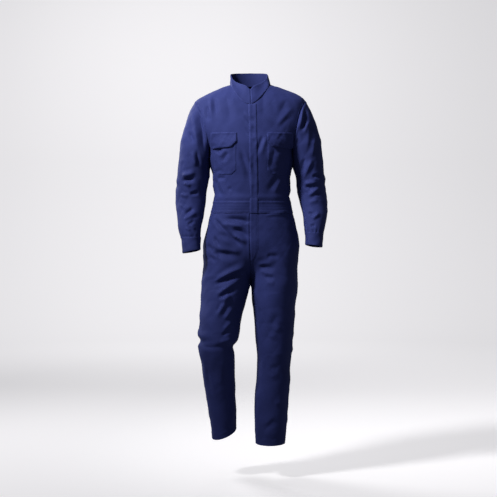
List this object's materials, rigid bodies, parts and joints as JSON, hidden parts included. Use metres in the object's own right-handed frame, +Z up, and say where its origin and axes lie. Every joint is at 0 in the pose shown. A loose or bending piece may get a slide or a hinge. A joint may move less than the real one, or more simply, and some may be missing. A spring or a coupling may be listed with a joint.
{
  "type": "boiler suit",
  "caption": "One-piece work suit with a stand collar, a hidden front fastening, flapped chest pockets, a stitched waistband, long sleeves with cuffs and straight legs, filled out as worn.",
  "frame": {"origin": "in the middle of the neck opening, level with the two points where the collar meets the shoulder seams, which is where the wearer's neck holds the suit", "axes": "+Z up along the standing wearer, +X towards the wearer's left, and the front faces -Y"},
  "size_m": [0.6215, 0.261, 1.5266],
  "materials": {
    "body_cloth": "navy polyester and cotton twill with a soft sheen",
    "band_cloth": "the same navy twill, doubled and interlined",
    "trim_cloth": "the same navy twill, turned in and topstitched"
  },
  "bodies": {
    "root": {"bodice_back": "body_cloth", "bodice_front_left": "body_cloth", "bodice_front_right": "body_cloth", "sleeve_upper_left": "body_cloth", "sleeve_upper_right": "body_cloth", "sleeve_under_left": "body_cloth", "sleeve_under_right": "body_cloth", "trouser_front_left": "body_cloth", "trouser_back_left": "body_cloth", "trouser_front_right_upper": "body_cloth", "trouser_front_right_lower": "body_cloth", "trouser_back_right_upper": "body_cloth", "trouser_back_right_lower": "body_cloth", "waistband": "band_cloth", "collar": "band_cloth", "cuff_left": "band_cloth", "cuff_right": "band_cloth", "placket": "trim_cloth", "fly": "trim_cloth", "chest_pocket_left": "trim_cloth", "chest_pocket_right": "trim_cloth", "pocket_flap_left": "trim_cloth", "pocket_flap_right": "trim_cloth"}
  },
  "joints": []
}
